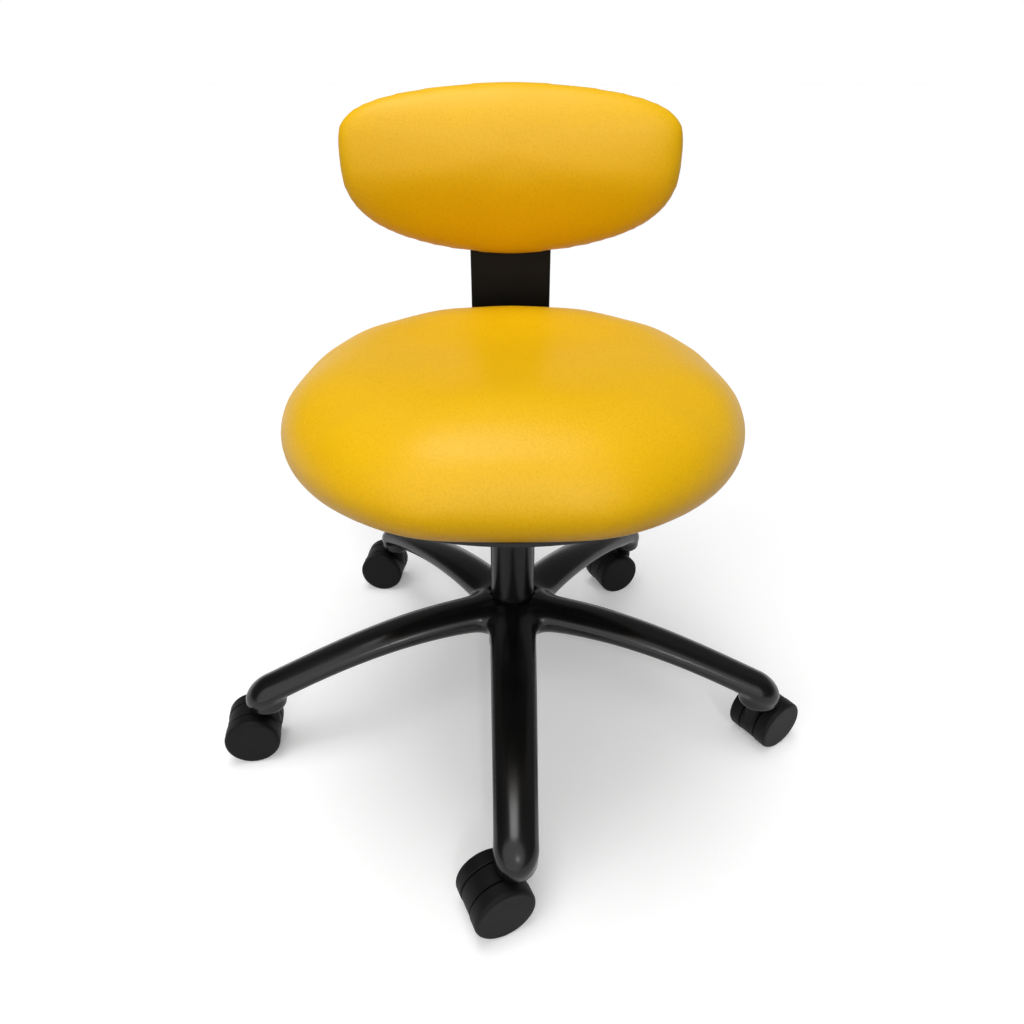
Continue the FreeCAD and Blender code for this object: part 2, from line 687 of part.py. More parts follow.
def make_mechanism():
    """The pressed-steel mechanism under the seat with its taper socket, seat plate and levers."""
    socket_top = dims.cylinder_top - 1
    socket_radius = dims.cylinder_radius + dims.socket_wall
    slope = (dims.cylinder_radius - dims.taper_top_radius) / (dims.cylinder_top - dims.taper_start)
    node(turned((
        (dims.cylinder_radius, dims.taper_start),
        (socket_radius, dims.taper_start),
        (socket_radius, socket_top),
        (dims.cylinder_radius - slope * (socket_top - dims.taper_start), socket_top),
    )), "taper_socket")
    half = dims.housing_width / 2
    wall = dims.sheet_wall
    low = dims.housing_bottom
    high = dims.housing_top
    front, back = -dims.housing_front, dims.housing_back
    shell = cut(
        block((-half, half), (front, back), (low, high)),
        block((wall - half, half - wall), (front + wall, back + 1), (low + wall, high - wall)),
    )
    ear_low = dims.hinge_z - dims.ear_radius
    ears = []
    for side in (-half, half - wall):
        ear_high = ear_low + dims.ear_radius * 2
        ears.append(block((side, side + wall), (back - 5, dims.hinge_y), (ear_low, ear_high)))
        ears.append(cylinder(dims.ear_radius, wall, side, dims.hinge_y, dims.hinge_z, "x"))
    width = dims.housing_width
    pin_hole = cylinder(dims.hinge_pin_radius, width, -half, dims.hinge_y, dims.hinge_z, "x")
    socket_hole = cylinder(socket_radius, wall, z=low)
    lock_hole = cylinder(dims.lock_radius + dims.running_gap, width, -half, dims.lock_y, dims.lock_z, "x")
    slot_half = dims.lever_width / 2 + 3
    slot = block((half - wall, half), (-slot_half, slot_half), (dims.lever_z - 8.5, dims.lever_z + 6))
    node(cut(fuse(shell, *ears), pin_hole, socket_hole, lock_hole, slot), "mechanism_housing")
    make_seat_plate()
    make_height_lever()
    make_recline_lock()


def bolt_spots():
    """Tied X and Y of the four seat bolts."""
    sides = (-1, 1)
    return [(dims.bolt_x * right, dims.bolt_y * back - dims.bolt_shift) for right in sides for back in sides]


def bolt_holes(low, high):
    """Four upright bars where the seat bolts pass."""
    return [cylinder(dims.bolt_radius, high - low, x, y, low) for x, y in bolt_spots()]


def plate_top():
    """Height of the seat plate's top."""
    return dims.housing_top + dims.plate_thickness


def make_seat_plate():
    """The flat plate on the housing that carries the seat, and its four bolts."""
    half = dims.plate_width / 2
    depth = dims.plate_depth / 2
    shift = dims.bolt_shift
    flat = block((-half, half), (-depth - shift, depth - shift), (dims.housing_top, plate_top()))
    thick = dims.plate_thickness.value
    rounded = round_edges(flat, dims.ear_radius, lambda edge: near(edge.BoundBox.ZLength, thick))
    node(cut(rounded, *bolt_holes(dims.housing_top, plate_top())), "seat_plate")
    board_top = plate_top() + dims.pan_thickness + dims.board_thickness
    bolts = []
    for x, y in bolt_spots():
        head = cylinder(dims.bolt_radius * 2, dims.bolt_head, x, y, dims.housing_top - dims.bolt_head)
        shank = cylinder(dims.bolt_radius, board_top - 3 - dims.housing_top, x, y, dims.housing_top)
        bolts.append(fuse(head, shank))
    node(group(*bolts), "seat_bolts")


def make_height_lever():
    """The lever that presses the release pin, its bracket, pivot pin and grip."""
    pivot_x = dims.lever_pivot_x
    cheek = dims.lever_width / 2 + 0.6
    roof = dims.housing_top - dims.sheet_wall
    foot = dims.lever_z - dims.cheek_half
    across = (pivot_x - dims.cheek_half, pivot_x + dims.cheek_half)
    outside = cheek + dims.sheet_wall
    cheeks = cut(
        block(across, (-outside, outside), (foot, roof)),
        block(across, (-cheek, cheek), (foot, roof - 2)),
    )
    pin_radius = dims.valve_radius
    pin_half = outside + 2.4
    pivot_pin = cylinder(pin_radius, pin_half * 2, pivot_x, -pin_half, dims.lever_z, "y")
    node(cut(cheeks, pivot_pin), "lever_bracket")
    node(pivot_pin, "lever_pivot_pin")
    low = dims.lever_z - dims.lever_thickness / 2
    high = dims.lever_z + dims.lever_thickness / 2
    grip_start = dims.lever_reach - dims.grip_length
    strip_end = grip_start + dims.grip_cover
    bend = dims.lever_bend
    bend_end = bend + dims.lever_drop * 1.5
    tail = -dims.lever_tail
    strip = profiled("xz", (
        (tail, low),
        (bend, low),
        (bend_end, low - dims.lever_drop),
        (strip_end, low - dims.lever_drop),
        (strip_end, high - dims.lever_drop),
        (bend_end + 2, high - dims.lever_drop),
        (bend + 2, high),
        (tail, high),
    ), dims.lever_width)
    pivot_bore = cylinder(pin_radius + dims.running_gap, pin_half * 2, pivot_x, -pin_half, dims.lever_z, "y")
    lever = cut(strip, pivot_bore)
    node(lever, "height_lever")
    grip_half = dims.grip_width / 2
    paddle = block((grip_start, dims.lever_reach), (-grip_half, grip_half),
                   (low - dims.lever_drop - 4, high - dims.lever_drop + 4))
    soft = round_edges(paddle, dims.wheel_rim, lambda edge: True)
    node(cut(soft, lever), "height_lever_grip")


def make_recline_lock():
    """The lever, cam and shoe that lock the back hinge."""
    half = dims.housing_width / 2
    grip_start = dims.grip_length - dims.lever_reach
    rod_end = grip_start - dims.grip_cover
    axis_y, axis_z = dims.lock_y, dims.lock_z
    rod = cylinder(dims.lock_radius, half + 4 - rod_end, rod_end, axis_y, axis_z, "x")
    node(rod, "recline_lever")
    cam_half = dims.cam_length / 2
    cam = cylinder(dims.cam_radius, dims.cam_length, -cam_half, axis_y, axis_z + dims.cam_throw, "x")
    node(cut(cam, rod), "recline_cam")
    shoe_low = dims.housing_bottom + dims.sheet_wall
    shoe_half = cam_half - 1
    shoe_front = axis_y + dims.cam_radius + 1.4
    shoe_back = dims.hinge_y - dims.knuckle_radius - 0.6
    shoe = block((-shoe_half, shoe_half), (shoe_front, shoe_back), (shoe_low, shoe_low + dims.shoe_height))
    node(shoe, "recline_lock_shoe")
    paddle = block((-dims.lever_reach, grip_start), (axis_y - dims.grip_width - 8, axis_y + dims.cam_radius),
                   (axis_z - dims.lock_radius - 2, axis_z + dims.lock_radius + 2))
    soft = round_edges(paddle, dims.wheel_rim, lambda edge: True)
    node(cut(soft, rod), "recline_lever_grip")


def make_back_arm():
    """The hinge pin and block and the bent flat bar that carries the backrest."""
    half = dims.housing_width / 2
    groove = half + 0.4
    axis_y, axis_z, radius = dims.hinge_y, dims.hinge_z, dims.hinge_pin_radius
    pin = turned((
        (-half - 3, 0),
        (-half - 3, radius + 3),
        (-half, radius + 3),
        (-half, radius),
        (groove, radius),
        (groove, radius - 0.9),
        (groove + 1.7, radius - 0.9),
        (groove + 1.7, radius),
        (half + 4, radius),
        (half + 4, 0),
    ), "H_Axis")
    place(pin, 0, axis_y, axis_z)
    node(pin, "back_hinge_pin")
    clip_thick = as_size(1.5)
    clip = cut(
        cylinder(radius + 3, clip_thick, groove + 0.1, axis_y, axis_z, "x"),
        cylinder(radius - 0.8, clip_thick, groove + 0.1, axis_y, axis_z, "x"),
        block((groove, groove + 2), (axis_y - 4, axis_y + 4), (axis_z - radius * 2, axis_z)),
    )
    node(clip, "hinge_pin_clip")
    knuckle_half = half - dims.sheet_wall - 0.5
    bolt_y = dims.bar_start + dims.bar_bolt_reach
    plate_low = dims.bar_bottom - dims.knuckle_plate
    knuckle = fuse(
        cylinder(dims.knuckle_radius, knuckle_half * 2, -knuckle_half, axis_y, axis_z, "x"),
        block((2 - knuckle_half, knuckle_half - 2), (axis_y, bolt_y + 18), (plate_low, dims.bar_bottom)),
    )
    pin_bore = cylinder(radius + dims.running_gap, dims.housing_width, -half, axis_y, axis_z, "x")
    bar_top_face = dims.bar_bottom + dims.bar_thickness
    sides = (-dims.bar_bolt_x, dims.bar_bolt_x)
    shanks = [cylinder(dims.bar_bolt_radius, bar_top_face - plate_low, x, bolt_y, plate_low) for x in sides]
    node(cut(knuckle, pin_bore, *shanks), "back_hinge_block")
    head_radius = dims.bar_bolt_radius + 2.5
    heads = [cylinder(head_radius, dims.bolt_head, x, bolt_y, plate_low - dims.bolt_head) for x in sides]
    node(group(*[fuse(head, shank) for head, shank in zip(heads, shanks)]), "back_bar_bolts")
    rear = dims.bar_front + dims.bar_thickness
    bar = profiled("yz", (
        (dims.bar_start, dims.bar_bottom),
        (rear, dims.bar_bottom),
        (rear, dims.bar_top),
        (dims.bar_front, dims.bar_top),
        (dims.bar_front, bar_top_face),
        (dims.bar_start, bar_top_face),
    ), dims.bar_width)
    soften(bar, dims.bar_bend, lambda edge: is_cross(edge, dims.bar_front.value, bar_top_face.value))
    outer_bend = dims.bar_bend + dims.bar_thickness
    soften(bar, outer_bend, lambda edge: is_cross(edge, rear.value, dims.bar_bottom.value))
    soften(bar, dims.ear_radius, lambda edge: near(edge.BoundBox.YLength, dims.bar_thickness.value)
           and near(middle(edge).z, dims.bar_top.value))
    soften(bar, dims.bar_thickness / 4, lambda edge: near(abs(middle(edge).x), dims.bar_width.value / 2)
           or middle(edge).z > dims.bar_top.value - dims.ear_radius.value)
    node(cut(bar, *shanks), "back_bar")


def is_cross(edge, y, z):
    """True for an edge along X through y, z."""
    point = middle(edge)
    return near(edge.BoundBox.XLength, dims.bar_width.value) and near(point.y, y) and near(point.z, z)


def make_slider():
    """The bracket that slides on the bar, and the knob that clamps it."""
    rear = dims.bar_front + dims.bar_thickness
    half = dims.slider_width / 2
    front_face = dims.bar_front - dims.slider_gap - dims.slider_wall
    rear_face = rear + dims.slider_gap + dims.slider_wall
    low = dims.slider_bottom
    high = low + dims.slider_height
    middle_z = low + dims.slider_height / 2
    outer = block((-half, half), (front_face, rear_face), (low, high))
    tall = dims.slider_height.value
    outer = round_edges(outer, dims.wheel_rim, lambda edge: near(edge.BoundBox.ZLength, tall))
    gap = dims.slider_gap
    bar_half = dims.bar_width / 2 + gap
    slot = block((-bar_half, bar_half), (dims.bar_front - gap, rear + gap), (low, high))
    boss_depth = as_size(3)
    boss = cylinder(dims.knob_stud_radius + 6, boss_depth, 0, rear_face, middle_z, "y")
    stud_bore = dims.knob_stud_radius + dims.running_gap
    stud_hole = cylinder(stud_bore, rear_face + boss_depth - rear, 0, rear, middle_z, "y")
    spots = [(dims.screw_x * right, middle_z + dims.screw_z * up) for right in (-1, 1) for up in (-1, 1)]
    screws = [make_back_screw(x, z, front_face) for x, z in spots]
    node(cut(fuse(outer, boss), slot, stud_hole, *screws), "slider_bracket")
    node(group(*screws), "backrest_screws")
    knob_start = rear_face + dims.knob_gap
    stud_start = rear + gap * 2
    stud_end = knob_start + dims.knob_length - 6
    stud = cylinder(dims.knob_stud_radius, stud_end - stud_start, 0, stud_start, middle_z, "y")
    node(stud, "clamp_stud")
    body = cylinder(dims.knob_radius, dims.knob_length, 0, knob_start, middle_z, "y")
    body = round_edges(body, dims.wheel_rim / 2, lambda edge: is_ring(edge, dims.knob_radius.value))
    flutes = []
    flute_circle = dims.knob_radius + 4
    for number in range(KNOB_FLUTES):
        turn = 2 * math.pi * (number + 0.5) / KNOB_FLUTES
        x = flute_circle * round(math.cos(turn), 9)
        z = middle_z + flute_circle * round(math.sin(turn), 9)
        flutes.append(cylinder(dims.knob_flute, dims.knob_length, x, knob_start, z, "y"))
    node(cut(body, stud, *flutes), "clamp_knob")
    return screws


def make_back_screw(x, z, front_face):
    """A countersunk screw through the bracket's front wall into the backrest shell."""
    radius = dims.screw_radius
    shank = cylinder(radius, 8, x, front_face - 4, z, "y")
    head = cone(radius, radius * 2, 3.2, x, front_face + 4, z, "y")
    return fuse(shank, head)


def back_outline(share):
    """X, lowest and highest Z of the backrest at a share of its half width."""
    left = 1 - abs(share) ** BACK_SIDE_ROUND
    below = left ** (1 / BACK_LOW_ROUND)
    above = left ** (1 / BACK_TOP_ROUND)
    middle_z = dims.back_middle.value
    return (share * dims.back_half_width.value,
            middle_z - dims.back_drop.value * below,
            middle_z + dims.back_rise.value * above)


def back_rear(x):
    """Y of the backrest cushion's rear face, which wraps forward at the sides."""
    return dims.back_face.value - x * x / (2 * dims.back_wrap.value)


def arc_edge(start, through, end):
    """An arc through three points."""
    return Part.Arc(start, through, end).toShape()


def back_section(share):
    """Closed cross-section of the backrest cushion: flat behind, round-edged, crowned at the lumbar line."""
    x, low, high = back_outline(share)
    tall = high - low
    swell = (1 - abs(share) ** 3) ** 0.5
    rear = back_rear(x)
    thick = dims.back_edge.value + (dims.back_depth.value - dims.back_edge.value) * swell
    crest_up = dims.back_crest.value - dims.back_middle.value + dims.back_drop.value
    crest = low + tall * crest_up / (dims.back_rise.value + dims.back_drop.value)
    edge = 0.16 * tall
    lip = 0.62 * thick
    rear_low = Vector(x, rear, low + edge / 2)
    rear_high = Vector(x, rear, high - edge / 2)
    front_high = Vector(x, rear - lip, high - edge / 2)
    front_low = Vector(x, rear - lip, low + edge / 2)
    crown = Vector(x, rear - thick, crest)
    upper = (front_high + crown) * 0.5 + Vector(0, -0.05 * tall * swell, 0.02 * tall)
    lower = (front_low + crown) * 0.5 + Vector(0, -0.05 * tall * swell, -0.02 * tall)
    return Part.Wire([
        Part.makeLine(rear_low, rear_high),
        arc_edge(rear_high, Vector(x, rear - lip / 2, high), front_high),
        arc_edge(front_high, upper, crown),
        arc_edge(crown, lower, front_low),
        arc_edge(front_low, Vector(x, rear - lip / 2, low), rear_low),
    ])


def shell_section(share):
    """Closed cross-section of the moulded shell behind the cushion."""
    x, low, high = back_outline(share * 0.97)
    front = back_rear(x) + dims.shell_gap.value
    rear = front + dims.shell_thickness.value
    margin = 0.05 * (high - low)
    corners = [
        Vector(x, front, low + margin),
        Vector(x, front, high - margin),
        Vector(x, rear, high - margin),
        Vector(x, rear, low + margin),
    ]
    return Part.makePolygon(corners + corners[:1])


def make_backrest(screws):
    """The backrest cushion and the moulded shell that it is glued to."""
    cushion = doc.addObject("Part::Feature", "BackCushion")
    sections = [back_section(share) for share in BACK_STATIONS]
    cushion.Shape = Part.makeLoft(sections, True, False, False, LOFT_DEGREE)
    node(cushion, "backrest_cushion")
    curved = doc.addObject("Part::Feature", "BackShell")
    sections = [shell_section(share) for share in BACK_STATIONS]
    curved.Shape = Part.makeLoft(sections, True, False, False, LOFT_DEGREE)
    rear = dims.back_face + dims.shell_gap + dims.shell_thickness
    middle_z = dims.slider_bottom + dims.slider_height / 2
    half, rise = dims.pad_half, dims.pad_rise
    pad = block((-half, half), (rear - 4, rear), (middle_z - rise, middle_z + rise))
    node(cut(fuse(curved, pad), *screws), "backrest_shell")


def oval_point(share, half, depth, centre, roundness, z):
    """Point and direction of a rounded quarter from the end (0) to the side (1)."""
    turn = share * math.pi / 2
    power = 2 / roundness
    across = half * math.sin(turn) ** power
    along = depth * math.cos(turn) ** power
    slope_x = max(math.sin(turn), 1e-6) ** (power - 1) * math.cos(turn) * half
    slope_y = max(math.cos(turn), 1e-6) ** (power - 1) * math.sin(turn) * -depth
    if share in (0, 1):
        slope_x, slope_y = (1.0, 0.0) if share == 0 else (0.0, -math.copysign(1.0, depth))
    return Vector(across, centre + along, z), Vector(slope_x, slope_y, 0).normalize()


def biarc(start, start_way, end, end_way):
    """Two arcs that join two points and leave them in the given directions."""
    chord = end - start
    ways = start_way + end_way
    spread = 2 * (1 - start_way.dot(end_way))
    reach = (-chord.dot(ways) + math.sqrt(chord.dot(ways) ** 2 + spread * chord.dot(chord))) / spread
    joint = (start + start_way * reach + end - end_way * reach) * 0.5
    return [tangent_arc(start, start_way, joint), tangent_arc(end, -end_way, joint, True)]


def tangent_arc(start, way, end, backwards=False):
    """An arc that leaves a point in a direction and ends at another point."""
    chord = end - start
    side = Vector(-way.y, way.x, 0)
    radius = chord.dot(chord) / (2 * side.dot(chord))
    centre = start + side * radius
    spoke = ((start + end) * 0.5 - centre).normalize()
    through = centre + spoke * abs(radius)
    if backwards:
        return arc_edge(end, through, start)
    return arc_edge(start, through, end)


def seat_quarter(half, depth, centre, roundness, z):
    """Arcs of the right-hand quarter of a seat outline, from its end on the middle line to its side."""
    points = [oval_point(share, half, depth, centre, roundness, z) for share in (0, 0.5, 1)]
    edges = []
    for (start, start_way), (end, end_way) in zip(points, points[1:]):
        edges += biarc(start, start_way, end, end_way)
    return edges


def seat_outline(side, front, back, z):
    """Closed seat outline, drawn in at the side, front and back."""
    half = dims.seat_half_width.value - side
    centre = -dims.seat_widest.value
    front_depth = -(dims.seat_front.value - front) - centre
    back_depth = dims.seat_back.value - back - centre
    ahead = seat_quarter(half, front_depth, centre, dims.seat_front_round.value, z)
    behind = seat_quarter(half, back_depth, centre, dims.seat_back_round.value, z)
    right = Part.Wire(ahead + [edge.reversed() for edge in reversed(behind)])
    left = right.mirror(Vector(), Vector(1, 0, 0))
    return Part.Wire(Part.__sortEdges__(right.Edges + left.Edges))


def seat_slab(insets, low, thickness):
    """A flat slab of the seat's outline, drawn in all round."""
    slab = doc.addObject("Part::Feature", "Slab")
    face = Part.Face(seat_outline(*insets, low.value))
    slab.Shape = face.extrude(Vector(0, 0, thickness.value))
    return slab


def make_seat():
    """The seat: underside cover, board and crowned cushion."""
    pan_low = plate_top()
    pan_high = pan_low + dims.pan_thickness
    board_high = pan_high + dims.board_thickness
    pan = seat_slab(PAN_INSETS, pan_low, dims.pan_thickness)
    node(cut(pan, *bolt_holes(pan_low, pan_high)), "seat_underside_cover")
    board = seat_slab(BOARD_INSETS, pan_high, dims.board_thickness)
    node(cut(board, *bolt_holes(pan_high, board_high - 3)), "seat_board")
    rise = dims.seat_height - pan_high
    levels = [seat_outline(side, front, back, pan_high.value + share * rise.value)
              for share, side, front, back in SEAT_LEVELS]
    crowned = doc.addObject("Part::Feature", "SeatCrown")
    crowned.Shape = Part.makeLoft(levels, True, False, False, LOFT_DEGREE)
    node(cut(crowned, board), "seat_cushion")


def check_and_export():
    """Stops on any broken object, then writes one file for each sub-part."""
    doc.recompute()
    broken = [obj.Label for obj in doc.Objects if "Invalid" in obj.State or "Error" in obj.State]
    if broken:
        raise RuntimeError(f"objects with errors: {broken}")
    os.makedirs("parts", exist_ok=True)
    for obj in nodes:
        if obj.Shape.isNull() or not obj.Shape.isValid() or not obj.Shape.Solids:
            raise RuntimeError(f"bad shape: {obj.Label}")
        obj.Shape.exportStep(f"parts/{obj.Label}.step")
    print(len(nodes), "sub-parts written")


node(make_base(), "five_star_base")
make_casters()
make_column()
make_mechanism()
make_back_arm()
make_backrest(make_slider())
make_seat()
check_and_export()
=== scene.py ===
"""Clinical operator chair: yellow leatherette seat and backrest on a black five-arm caster base.

Metres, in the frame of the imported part: the floor is z = 0, the lift column stands on the Z axis and the sitter
faces -Y. The sizes of pieces below are in millimetres.
"""
import json
import math

import bmesh
import bpy
import numpy as np
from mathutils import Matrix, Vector


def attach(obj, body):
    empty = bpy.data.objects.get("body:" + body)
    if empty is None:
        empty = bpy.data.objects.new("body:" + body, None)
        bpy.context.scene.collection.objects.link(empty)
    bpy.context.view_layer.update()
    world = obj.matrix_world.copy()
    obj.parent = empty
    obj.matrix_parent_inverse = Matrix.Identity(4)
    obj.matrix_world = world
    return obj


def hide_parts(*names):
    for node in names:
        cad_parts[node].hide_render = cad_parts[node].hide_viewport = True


MM = 0.001
# The cloth run for the covers: size of their even cells, frames, and the most that each cover may swell
COVER_CELL, CLOTH_FRAMES = 5, 20
SEAT_SWELL, BACK_SWELL = 4, 3
# A cover is pulled tight over its foam, so the cloth's creases are averaged out over neighbours in these rounds
STRETCH_ROUNDS = 24
# Points around a cushion's outline
OUTLINE_POINTS = 64

# Cast base: the reach from the column to a caster's stem, and sections of an arm at these reaches
ARM_COUNT = 5
STEM_CIRCLE = 290
ARM_REACH = (11.6, 58, 130.5, 203, 252.3, 290)
ARM_WIDTH = (53, 51.4, 48.5, 44.5, 42.4, 41)
ARM_DEPTH = (40, 34.5, 29, 27, 27.5, 30)
ARM_TOP = (146.5, 147, 140, 123.5, 109.5, 97.5)
# The round end runs on past the stem a little
ARM_TIP = 3
# The boss that holds a caster's stem, with its top sunk into the arm's round end
BOSS_RADIUS, BOSS_LOW, BOSS_EDGE, BOSS_SINK = 20, 61.5, 5, 5
# The hub, the foot below it, and the bore, whose edge is hidden inside the column's tube
HUB_RADIUS, HUB_LOW, HUB_HIGH, HUB_EDGE = 34, 106, 137, 12
FOOT_RADIUS, FOOT_LOW, FOOT_EDGE = 28.5, 74, 1.5
BORE_RADIUS = 22.5
# How far the casting's fillets reach
CAST_FILLET, FOOT_FILLET, BOSS_FILLET, BORE_FILLET = 6, 6, 3, 0.8
# Size of the cells that the rough star is grown from
STAR_CELL = 3.4

# Seat cushion: outline, with the place of its widest line
SEAT_HALF, SEAT_FRONT, SEAT_BACK, SEAT_WIDEST = 224, 252, 216, 30
SEAT_FRONT_ROUND, SEAT_BACK_ROUND = 1.98, 2.44
# The front is cut nearly straight across at this reach
SEAT_STRAIGHT, STRAIGHT_EASE = 239, 3
SEAT_LOW, SEAT_HIGH = 357.4, 445
# Share of the cushion's height, then how far side, front and back are drawn in there
SEAT_LEVELS = (
    (0.0, 40, 42, 40),
    (0.0, 22, 26, 22),
    (0.03, 14, 17, 13),
    (0.08, 7.5, 10, 7),
    (0.15, 3, 4.5, 3),
    (0.24, 0.5, 1, 0.5),
    (0.33, 0, 0, 0),
    (0.43, 1.5, 3, 1),
    (0.54, 5, 9, 3.5),
    (0.66, 11, 18, 8),
    (0.77, 20, 29, 15),
    (0.86, 32, 43, 26),
    (0.925, 48, 58, 40),
    (0.965, 66, 76, 56),
    (0.985, 86, 96, 74),
)
# Shrinking rings that close the top
SEAT_INNER = (0.82, 0.6, 0.38, 0.16)
# A dish behind and a raised front between the thighs: height, half width, place and half length
SEAT_DISH = (-8, 130, 35, 85)
SEAT_POMMEL = (4, 70, -140, 55)

# Backrest cushion: outline above and below its widest line, and how square its corners are
BACK_HALF, BACK_MIDDLE, BACK_RISE, BACK_DROP = 185.8, 607, 65, 115.5
BACK_SIDE_ROUND, BACK_TOP_ROUND, BACK_LOW_ROUND = 1.7, 3.5, 3.1
# The lumbar crest: its height, roundness and depth, and how the depth falls from it upwards, downwards and sideways
BACK_CREST, CREST_ROUND, CREST_DEPTH, CREST_FALL, SIDE_FALL = 584, 17, 56, 0.33, 8
# Place of the rear face and the radius that it is wrapped to
BACK_FACE, BACK_WRAP = 210.2, 620
# Share of the outline and of the cushion's depth from the rear face to the front
BACK_LEVELS = (
    (0.45, 0.0), (0.8, 0.0), (0.93, 0.02), (0.985, 0.14), (1.0, 0.32), (0.985, 0.5),
    (0.93, 0.68), (0.82, 0.82), (0.64, 0.92), (0.42, 0.98), (0.2, 1.0),
)


def linear(hex_colour):
    """A hex sRGB colour as linear RGBA."""
    parts = [int(hex_colour[i:i + 2], 16) / 255 for i in (1, 3, 5)]
    return tuple(c / 12.92 if c <= 0.04045 else ((c + 0.055) / 1.055) ** 2.4 for c in parts) + (1.0,)


def add(tree, kind, values=None, links=None, **settings):
    """Adds a node: settings are its own properties, values its sockets, links what feeds its sockets."""
    made = tree.nodes.new(kind)
    for name, value in settings.items():
        setattr(made, name, value)
    for socket, value in (values or {}).items():
        made.inputs[socket].default_value = value
    for socket, source in (links or {}).items():
        tree.links.new(source, made.inputs[socket])
    return made


def new_material(name):
    """An empty node material and its tree."""
    material = bpy.data.materials.new(name)
    material.use_nodes = True
    material.node_tree.nodes.clear()
    return material, material.node_tree


def close_material(tree, shader):
    """Joins the shader to the material's output."""
    add(tree, "ShaderNodeOutputMaterial", links={"Surface": shader.outputs[0]})


def leatherette():
    """PU-coated knit, embossed with a pebble grain."""
    # The embossing gives soft pebbles about 1.8 mm across, with fine creases that break up a silky sheen
    material, tree = new_material("embossed_pu_leatherette")
    on_piece = {"Vector": add(tree, "ShaderNodeTexCoord").outputs["Object"]}
    pebbles = add(tree, "ShaderNodeTexVoronoi", {"Scale": 1 / (1.8 * MM), "Randomness": 0.9}, on_piece,
                  feature="SMOOTH_F1")
    fine = add(tree, "ShaderNodeTexNoise", {"Scale": 1 / (0.9 * MM), "Detail": 2.0}, on_piece)
    broad = add(tree, "ShaderNodeTexNoise", {"Scale": 1 / (90 * MM), "Detail": 2.0}, on_piece)
    tint = add(tree, "ShaderNodeValToRGB", links={"Fac": broad.outputs["Fac"]})
    for stop, at, colour in zip(tint.color_ramp.elements, (0.3, 0.7), ("#EDB800", "#F0BB00")):
        stop.position, stop.color = at, linear(colour)
    # The colour is darkened by up to a tenth towards the creases between the pebbles, a painted shade of the grain's
    # recesses
    crease_shade = add(tree, "ShaderNodeMapRange", {"From Min": 0.15, "From Max": 0.75, "To Min": 1.0, "To Max": 0.91},
                  {"Value": pebbles.outputs["Distance"]})
    colour = add(tree, "ShaderNodeMix", {"Factor": 1.0}, {"A": tint.outputs["Color"], "B": crease_shade.outputs[0]},
                 data_type="RGBA", blend_type="MULTIPLY")
    gloss = add(tree, "ShaderNodeMapRange", {"From Min": 0.1, "From Max": 0.8, "To Min": 0.38, "To Max": 0.48},
                {"Value": pebbles.outputs["Distance"]})
    raised = add(tree, "ShaderNodeBump", {"Strength": 0.55, "Distance": 0.00025},
                 {"Height": pebbles.outputs["Distance"]}, invert=True)
    surface = add(tree, "ShaderNodeBump", {"Strength": 0.15, "Distance": 0.00005},
                  {"Height": fine.outputs["Fac"], "Normal": raised.outputs[0]})
    shader = add(tree, "ShaderNodeBsdfPrincipled",
                 {"IOR": 1.48, "Specular IOR Level": 0.3},
                 {"Base Color": colour.outputs["Result"], "Roughness": gloss.outputs[0],
                  "Normal": surface.outputs[0]})
    close_material(tree, shader)
    return material


def black_coat(name, tones, roughness, grain, height, shine=0.35):
    """A black finish whose gloss and tone vary a little over the surface, with a grain of this width and height."""
    material, tree = new_material(name)
    on_piece = {"Vector": add(tree, "ShaderNodeTexCoord").outputs["Object"]}
    grit = add(tree, "ShaderNodeTexNoise", {"Scale": 1 / (grain * MM), "Detail": 3.0}, on_piece)
    handled = add(tree, "ShaderNodeTexNoise", {"Scale": 1 / (50 * MM), "Detail": 3.0}, on_piece)
    tone = add(tree, "ShaderNodeValToRGB", links={"Fac": handled.outputs["Fac"]})
    for stop, at, colour in zip(tone.color_ramp.elements, (0.3, 0.7), tones):
        stop.position, stop.color = at, linear(colour)
    gloss = add(tree, "ShaderNodeMapRange",
                {"From Min": 0.3, "From Max": 0.7, "To Min": roughness[0], "To Max": roughness[1]},
                {"Value": handled.outputs["Fac"]})
    surface = add(tree, "ShaderNodeBump", {"Strength": 0.4, "Distance": height * MM}, {"Height": grit.outputs["Fac"]})
    shader = add(tree, "ShaderNodeBsdfPrincipled",
                 {"IOR": 1.5, "Specular IOR Level": shine},
                 {"Base Color": tone.outputs["Color"], "Roughness": gloss.outputs[0], "Normal": surface.outputs[0]})
    close_material(tree, shader)
    return material


def zinc_steel():
    """Zinc-plated steel, turned and then plated."""
    # Plating gives a bright, slightly milky grey with faint turning marks
    material, tree = new_material("zinc_plated_steel")
    on_piece = {"Vector": add(tree, "ShaderNodeTexCoord").outputs["Object"]}
    marks = add(tree, "ShaderNodeTexNoise", {"Scale": 1 / (1.2 * MM), "Detail": 2.0}, on_piece)
    cloud = add(tree, "ShaderNodeTexNoise", {"Scale": 1 / (6 * MM), "Detail": 3.0}, on_piece)
    tone = add(tree, "ShaderNodeValToRGB", links={"Fac": cloud.outputs["Fac"]})
    tone.color_ramp.elements[0].color = linear("#A9ABAD")
    tone.color_ramp.elements[1].color = linear("#C6C8CA")
    gloss = add(tree, "ShaderNodeMapRange", {"To Min": 0.25, "To Max": 0.45}, {"Value": cloud.outputs["Fac"]})
    surface = add(tree, "ShaderNodeBump", {"Strength": 0.2, "Distance": 0.00008}, {"Height": marks.outputs["Fac"]})
    shader = add(tree, "ShaderNodeBsdfPrincipled", {"Metallic": 1.0},
                 {"Base Color": tone.outputs["Color"], "Roughness": gloss.outputs[0], "Normal": surface.outputs[0]})
    close_material(tree, shader)
    return material


